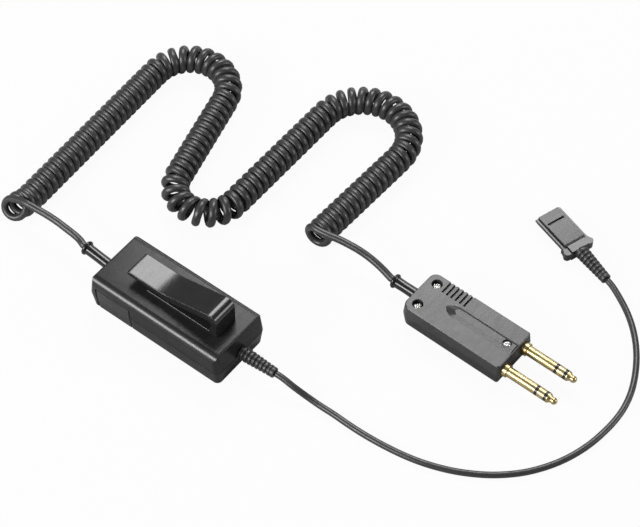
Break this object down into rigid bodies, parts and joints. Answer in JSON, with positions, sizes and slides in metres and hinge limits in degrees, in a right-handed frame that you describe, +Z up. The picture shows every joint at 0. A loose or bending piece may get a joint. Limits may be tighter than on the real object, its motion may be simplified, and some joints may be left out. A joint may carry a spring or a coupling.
{
  "type": "in-line headset amplifier lead",
  "caption": "In-line headset amplifier with a belt clip, a curly cord to a twin-prong plug and a thin cord to a quick-release connector.",
  "frame": {"origin": "middle of the amplifier case's underside", "axes": "+X along the case towards the thin cord, +Y towards the plug and the connector, +Z up"},
  "size_m": [0.3187, 0.1919, 0.0356],
  "materials": {
    "case_plastic": "satin, fine spark-eroded texture",
    "door_plastic": "coarse leather-like texture",
    "clip_plastic": "high gloss",
    "plug_top_plastic": "satin, fine texture",
    "plug_base_plastic": "satin",
    "quick_plastic": "semi-gloss",
    "quick_base_plastic": "semi-gloss",
    "relief_rubber": "glossy",
    "rib_rubber": "satin",
    "cord_jacket": "satin",
    "prong_metal": "polished, gold flashed",
    "insulator": "gloss",
    "screw_metal": "bright nickel",
    "board_laminate": "solder resist",
    "core_iron": "varnished",
    "winding_copper": "enamelled wire",
    "capacitor_sleeve": "shrink sleeve",
    "chip_epoxy": "moulded",
    "header_nylon": "moulded",
    "trimmer_plastic": "moulded"
  },
  "bodies": {
    "amplifier": {"case_bottom_cover": "case_plastic", "case_top_cover": "case_plastic", "clip_base": "clip_plastic", "clip_screws": "screw_metal", "case_screws": "screw_metal", "circuit_board": "board_laminate", "transformer_core": "core_iron", "transformer_winding": "winding_copper", "capacitors": "capacitor_sleeve", "amplifier_chip": "chip_epoxy", "wire_headers": "header_nylon", "trimmer_bodies": "trimmer_plastic", "case_cord_relief": "relief_rubber", "line_cord_relief": "rib_rubber", "plug_lower_shell": "plug_base_plastic", "plug_upper_shell": "plug_top_plastic", "plug_screws": "screw_metal", "prong_sleeves": "prong_metal", "prong_rings": "prong_metal", "prong_tips": "prong_metal", "sleeve_insulators": "insulator", "ring_insulators": "insulator", "plug_cord_relief": "relief_rubber", "quick_lower_shell": "quick_base_plastic", "quick_upper_shell": "quick_plastic", "quick_contact_block": "insulator", "quick_contacts": "prong_metal", "quick_cord_relief": "rib_rubber", "case_lead": "cord_jacket", "curly_cord": "cord_jacket", "plug_lead": "cord_jacket", "line_cord": "cord_jacket"},
    "clip_arm": {"clip_arm": "clip_plastic"},
    "door": {"access_door": "door_plastic"},
    "mic_gain": {"mic_gain_rotor": "header_nylon"},
    "ear_gain": {"ear_gain_rotor": "header_nylon"}
  },
  "joints": [
    {"name": "clip_bend", "type": "hinge", "parent": "amplifier", "child": "clip_arm", "pos_m": [0.0241, 0, 0.0327], "axis": [0, 1, 0], "range_deg": [0, 8], "stiffness_Nm_per_rad": 1},
    {"name": "door_pull", "type": "slide", "parent": "amplifier", "child": "door", "axis": [0, -1, 0], "range_m": [0, 0.012]},
    {"name": "mic_gain_turn", "type": "hinge", "parent": "amplifier", "child": "mic_gain", "pos_m": [-0.02875, -0.0133, 0.0101], "axis": [0, -1, 0], "range_deg": [-135, 135]},
    {"name": "ear_gain_turn", "type": "hinge", "parent": "amplifier", "child": "ear_gain", "pos_m": [-0.02155, -0.0133, 0.0101], "axis": [0, -1, 0], "range_deg": [-135, 135]}
  ]
}
